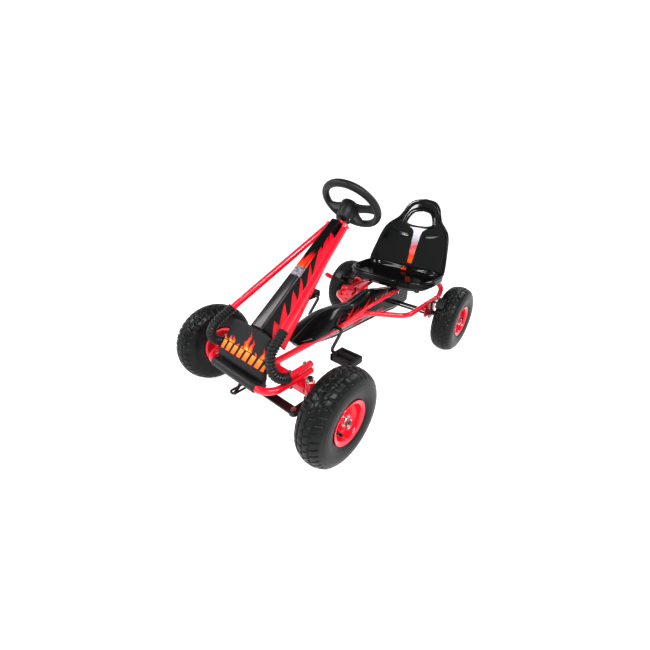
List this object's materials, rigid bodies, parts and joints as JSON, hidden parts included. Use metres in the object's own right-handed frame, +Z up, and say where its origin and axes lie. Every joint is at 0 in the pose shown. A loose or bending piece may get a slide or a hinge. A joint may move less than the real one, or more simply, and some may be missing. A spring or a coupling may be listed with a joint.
{
  "type": "pedal go kart",
  "caption": "Child's pedal go kart: bent tube frame, chain-driven rear axle, pneumatic tyres, kingpin steering through a raked column, moulded bucket seat and a hand brake.",
  "frame": {"origin": "under the middle of the kart's bounding box, on the ground", "axes": "+X to the driver's left, -Y forwards (the way the kart drives), +Z up"},
  "size_m": [0.6212, 1.0382, 0.6406],
  "materials": {
    "red_paint": "gloss",
    "black_paint": "satin",
    "zinc": "bright",
    "bearing_steel": "satin",
    "chain_steel": "oiled",
    "seat_plastic": "gloss",
    "guard_plastic": "gloss",
    "matte_plastic": "matte",
    "panel_plastic": "satin",
    "sleeve_rubber": "satin",
    "red_rubber": "matte",
    "tyre_rubber": "matte",
    "nylon": "matte"
  },
  "bodies": {
    "frame": {"main_frame_tube": "red_paint", "front_axle_beam": "red_paint", "bumper_tube": "red_paint", "bumper_sleeve": "sleeve_rubber", "upper_frame_tube_left": "red_paint", "upper_frame_tube_right": "red_paint", "corrugated_sleeve_left": "sleeve_rubber", "corrugated_sleeve_right": "sleeve_rubber", "frame_bolts": "zinc", "axle_hangers": "red_paint", "axle_bushes": "nylon", "crank_hangers": "red_paint", "crank_bushes": "nylon", "seat_stays": "red_paint", "seat_crossbar": "red_paint", "seat_bolts": "zinc", "seat_buffers": "sleeve_rubber", "lever_guide": "red_paint", "steering_head": "red_paint", "front_panel": "panel_plastic", "column_cover": "guard_plastic", "chain": "chain_steel", "guard_left": "guard_plastic", "guard_right": "guard_plastic", "guard_screws": "zinc", "seat": "seat_plastic"},
    "steering": {"steering_rod": "black_paint", "steering_wheel": "matte_plastic", "steering_bolt": "zinc"},
    "knuckle_left": {"knuckle_left": "black_paint", "knuckle_nuts_left": "zinc"},
    "knuckle_right": {"knuckle_right": "black_paint", "knuckle_nuts_right": "zinc"},
    "tie_rod": {"tie_rod": "black_paint", "tie_rod_bolts": "zinc"},
    "wheel_front_left": {"tyre_front_left": "tyre_rubber", "rim_front_left": "red_paint", "bearings_front_left": "bearing_steel"},
    "wheel_front_right": {"tyre_front_right": "tyre_rubber", "rim_front_right": "red_paint", "bearings_front_right": "bearing_steel"},
    "rear_axle": {"rear_axle": "black_paint", "rear_sprocket": "chain_steel", "axle_spacers": "black_paint", "wheel_nuts_rear": "zinc", "tyre_rear_left": "tyre_rubber", "rim_rear_left": "red_paint", "drive_sleeves_rear_left": "bearing_steel"},
    "wheel_rear_right": {"tyre_rear_right": "tyre_rubber", "rim_rear_right": "red_paint", "bearings_rear_right": "bearing_steel"},
    "crank": {"crank": "black_paint", "chainring": "chain_steel"},
    "pedal_left": {"pedal_left": "matte_plastic"},
    "pedal_right": {"pedal_right": "matte_plastic"},
    "brake": {"brake_rod": "black_paint", "brake_pads": "sleeve_rubber", "brake_lever": "black_paint", "brake_grip": "red_rubber"}
  },
  "joints": [
    {"name": "kingpin_left_turn", "type": "hinge", "parent": "frame", "child": "knuckle_left", "pos_m": [0.173, -0.38912, 0.16], "axis": [0, 0, 1], "range_deg": [-18, 18]},
    {"name": "kingpin_right_turn", "type": "hinge", "parent": "frame", "child": "knuckle_right", "pos_m": [-0.173, -0.38912, 0.16], "axis": [0, 0, 1], "range_deg": [-18, 18]},
    {"name": "tie_rod_pivot", "type": "hinge", "parent": "knuckle_left", "child": "tie_rod", "pos_m": [0.173, -0.44912, 0.1277], "axis": [0, 0, 1], "range_deg": [-18, 18]},
    {"name": "steering_turn", "type": "hinge", "parent": "frame", "child": "steering", "pos_m": [0, -0.38912, 0.197], "axis": [0, 0.7071, 0.7071], "range_deg": [-41.6, 41.6]},
    {"name": "front_left_wheel_spin", "type": "hinge", "parent": "knuckle_left", "child": "wheel_front_left", "pos_m": [0.268, -0.38912, 0.13], "axis": [1, 0, 0], "continuous": true},
    {"name": "front_right_wheel_spin", "type": "hinge", "parent": "knuckle_right", "child": "wheel_front_right", "pos_m": [-0.268, -0.38912, 0.13], "axis": [1, 0, 0], "continuous": true},
    {"name": "rear_axle_spin", "type": "hinge", "parent": "frame", "child": "rear_axle", "pos_m": [0, 0.35088, 0.13], "axis": [1, 0, 0], "continuous": true},
    {"name": "rear_right_wheel_spin", "type": "hinge", "parent": "rear_axle", "child": "wheel_rear_right", "pos_m": [-0.2595, 0.35088, 0.13], "axis": [1, 0, 0], "continuous": true},
    {"name": "crank_spin", "type": "hinge", "parent": "frame", "child": "crank", "pos_m": [0, -0.13412, 0.2], "axis": [1, 0, 0], "continuous": true},
    {"name": "pedal_left_spin", "type": "hinge", "parent": "crank", "child": "pedal_left", "pos_m": [0.122, -0.18927, 0.14485], "axis": [1, 0, 0], "continuous": true},
    {"name": "pedal_right_spin", "type": "hinge", "parent": "crank", "child": "pedal_right", "pos_m": [-0.122, -0.07897, 0.25515], "axis": [1, 0, 0], "continuous": true},
    {"name": "brake_pull", "type": "hinge", "parent": "frame", "child": "brake", "pos_m": [0, 0.30088, 0.14], "axis": [-1, 0, 0], "range_deg": [0, 5]}
  ],
  "couplings": [
    {"joint": "kingpin_right_turn", "follows": "kingpin_left_turn", "ratio": 1},
    {"joint": "tie_rod_pivot", "follows": "kingpin_left_turn", "ratio": -1},
    {"joint": "steering_turn", "follows": "kingpin_left_turn", "ratio": 2.3077},
    {"joint": "crank_spin", "follows": "rear_axle_spin", "ratio": 0.6}
  ]
}
